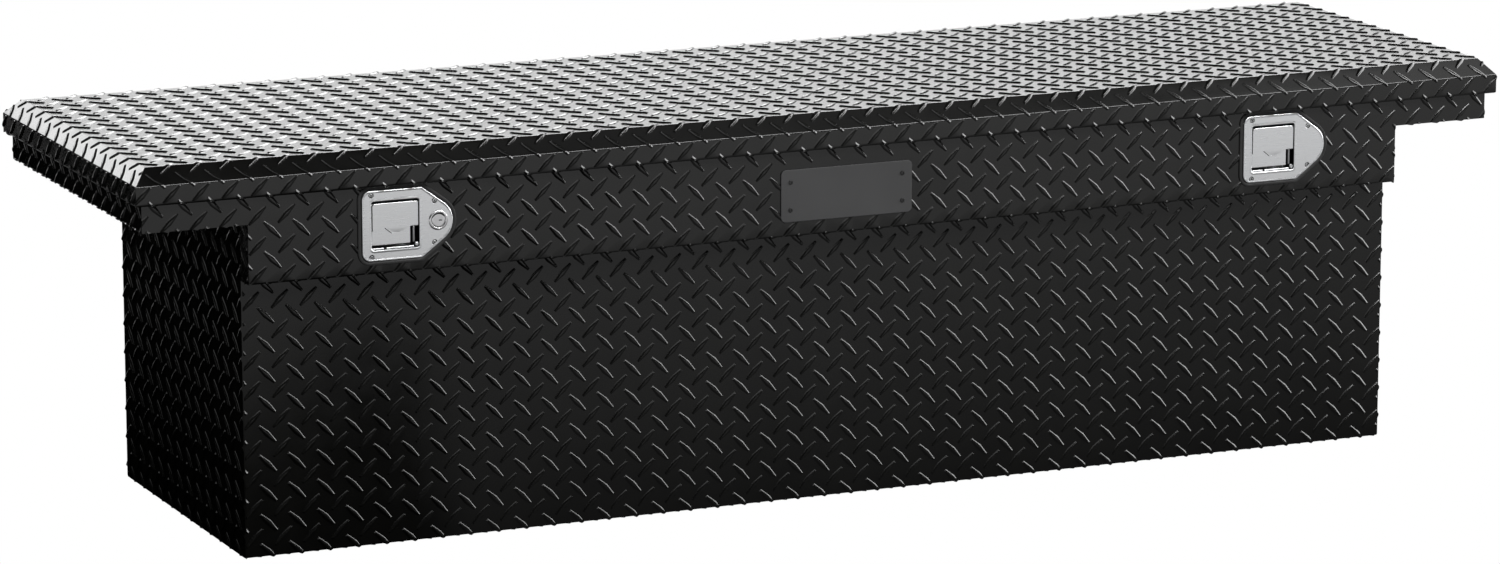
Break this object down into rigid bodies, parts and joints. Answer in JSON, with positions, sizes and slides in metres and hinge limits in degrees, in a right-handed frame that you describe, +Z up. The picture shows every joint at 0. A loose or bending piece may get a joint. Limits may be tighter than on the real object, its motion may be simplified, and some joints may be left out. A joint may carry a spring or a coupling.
{
  "type": "truck tool box",
  "caption": "Crossover tool box for a pickup bed: deep tub between two rail wings, one hinged tread-plate lid, two linked paddle latches and two gas struts.",
  "frame": {"origin": "centre of the base, on the surface the tub stands on", "axes": "+X along the box to the right, -Y is the latch side, +Z up"},
  "size_m": [1.7716, 0.508, 0.4764],
  "materials": {
    "black_tread": "black powder-coated tread plate, semi-gloss",
    "black_inner": "black powder coat, smooth sheet",
    "stainless": "satin stainless steel",
    "zinc_steel": "zinc-plated steel",
    "hinge_black": "black coated steel",
    "rubber": "black rubber",
    "foam": "rigid insulating foam",
    "plate_grey": "dark satin plate",
    "lock_chrome": "bright chrome",
    "strut_black": "black enamel tube",
    "strut_chrome": "polished rod"
  },
  "bodies": {
    "box": {"tub_shell": "black_tread", "front_fascia": "black_tread", "rear_rail": "black_tread", "left_end_wall": "black_tread", "right_end_wall": "black_tread", "left_wing_pan": "black_tread", "right_wing_pan": "black_tread", "rim_seal": "rubber", "hinge_box_leaf": "hinge_black", "hinge_pin": "zinc_steel", "hinge_box_rivets": "hinge_black", "shaft_bearings": "zinc_steel", "return_springs": "zinc_steel", "lock_cylinder": "lock_chrome", "lock_nut": "zinc_steel", "name_plate": "plate_grey", "name_plate_screws": "zinc_steel", "strut_box_brackets": "zinc_steel", "left_latch_plate": "stainless", "left_latch_gasket": "rubber", "left_latch_screws": "stainless", "left_paddle_pin": "zinc_steel", "right_latch_plate": "stainless", "right_latch_gasket": "rubber", "right_latch_screws": "stainless", "right_paddle_pin": "zinc_steel"},
    "lid": {"lid_skin": "black_tread", "lid_inner_pan": "black_inner", "lid_foam_core": "foam", "hinge_lid_leaf": "hinge_black", "hinge_lid_rivets": "hinge_black", "left_striker": "zinc_steel", "right_striker": "zinc_steel", "strut_lid_brackets": "zinc_steel"},
    "left_paddle": {"left_paddle": "stainless"},
    "right_paddle": {"right_paddle": "stainless"},
    "release_shaft": {"release_shaft": "zinc_steel", "left_hook": "zinc_steel", "right_hook": "zinc_steel"},
    "lock_plug": {"lock_plug": "lock_chrome", "lock_cam": "zinc_steel"},
    "left_strut_cylinder": {"left_strut_cylinder": "strut_black"},
    "right_strut_cylinder": {"right_strut_cylinder": "strut_black"},
    "left_strut_rod": {"left_strut_rod": "strut_chrome"},
    "right_strut_rod": {"right_strut_rod": "strut_chrome"}
  },
  "joints": [
    {"name": "lid_hinge", "type": "hinge", "parent": "box", "child": "lid", "pos_m": [0, 0.2502, 0.4295], "axis": [-1, 0, 0], "range_deg": [0, 80]},
    {"name": "left_paddle_pull", "type": "hinge", "parent": "box", "child": "left_paddle", "pos_m": [-0.5711, -0.242, 0.4115], "axis": [-1, 0, 0], "range_deg": [0, 30], "stiffness_Nm_per_rad": 0.3},
    {"name": "right_paddle_pull", "type": "hinge", "parent": "box", "child": "right_paddle", "pos_m": [0.5766, -0.242, 0.4115], "axis": [-1, 0, 0], "range_deg": [0, 30], "stiffness_Nm_per_rad": 0.3},
    {"name": "release_shaft_turn", "type": "hinge", "parent": "box", "child": "release_shaft", "pos_m": [0, -0.227, 0.432], "axis": [1, 0, 0], "range_deg": [0, 28.5], "stiffness_Nm_per_rad": 0.3},
    {"name": "lock_turn", "type": "hinge", "parent": "box", "child": "lock_plug", "pos_m": [-0.5186, -0.235, 0.3884], "axis": [0, -1, 0], "range_deg": [0, 90]},
    {"name": "left_strut_swing", "type": "hinge", "parent": "box", "child": "left_strut_cylinder", "pos_m": [-0.835, 0, 0.416], "axis": [1, 0, 0], "range_deg": [0, 8.8]},
    {"name": "left_strut_slide", "type": "slide", "parent": "left_strut_cylinder", "child": "left_strut_rod", "axis": [0, 0.9879, 0.1549], "range_m": [0, 0.0796]},
    {"name": "right_strut_swing", "type": "hinge", "parent": "box", "child": "right_strut_cylinder", "pos_m": [0.835, 0, 0.416], "axis": [1, 0, 0], "range_deg": [0, 8.8]},
    {"name": "right_strut_slide", "type": "slide", "parent": "right_strut_cylinder", "child": "right_strut_rod", "axis": [0, 0.9879, 0.1549], "range_m": [0, 0.0796]}
  ],
  "couplings": [
    {"joint": "right_paddle_pull", "follows": "left_paddle_pull", "ratio": 1},
    {"joint": "release_shaft_turn", "follows": "left_paddle_pull", "ratio": 0.95},
    {"joint": "left_strut_swing", "follows": "lid_hinge", "ratio": 0.10808},
    {"joint": "left_strut_slide", "follows": "lid_hinge", "m_per_rad": 0.056793},
    {"joint": "right_strut_swing", "follows": "lid_hinge", "ratio": 0.10808},
    {"joint": "right_strut_slide", "follows": "lid_hinge", "m_per_rad": 0.056793}
  ]
}
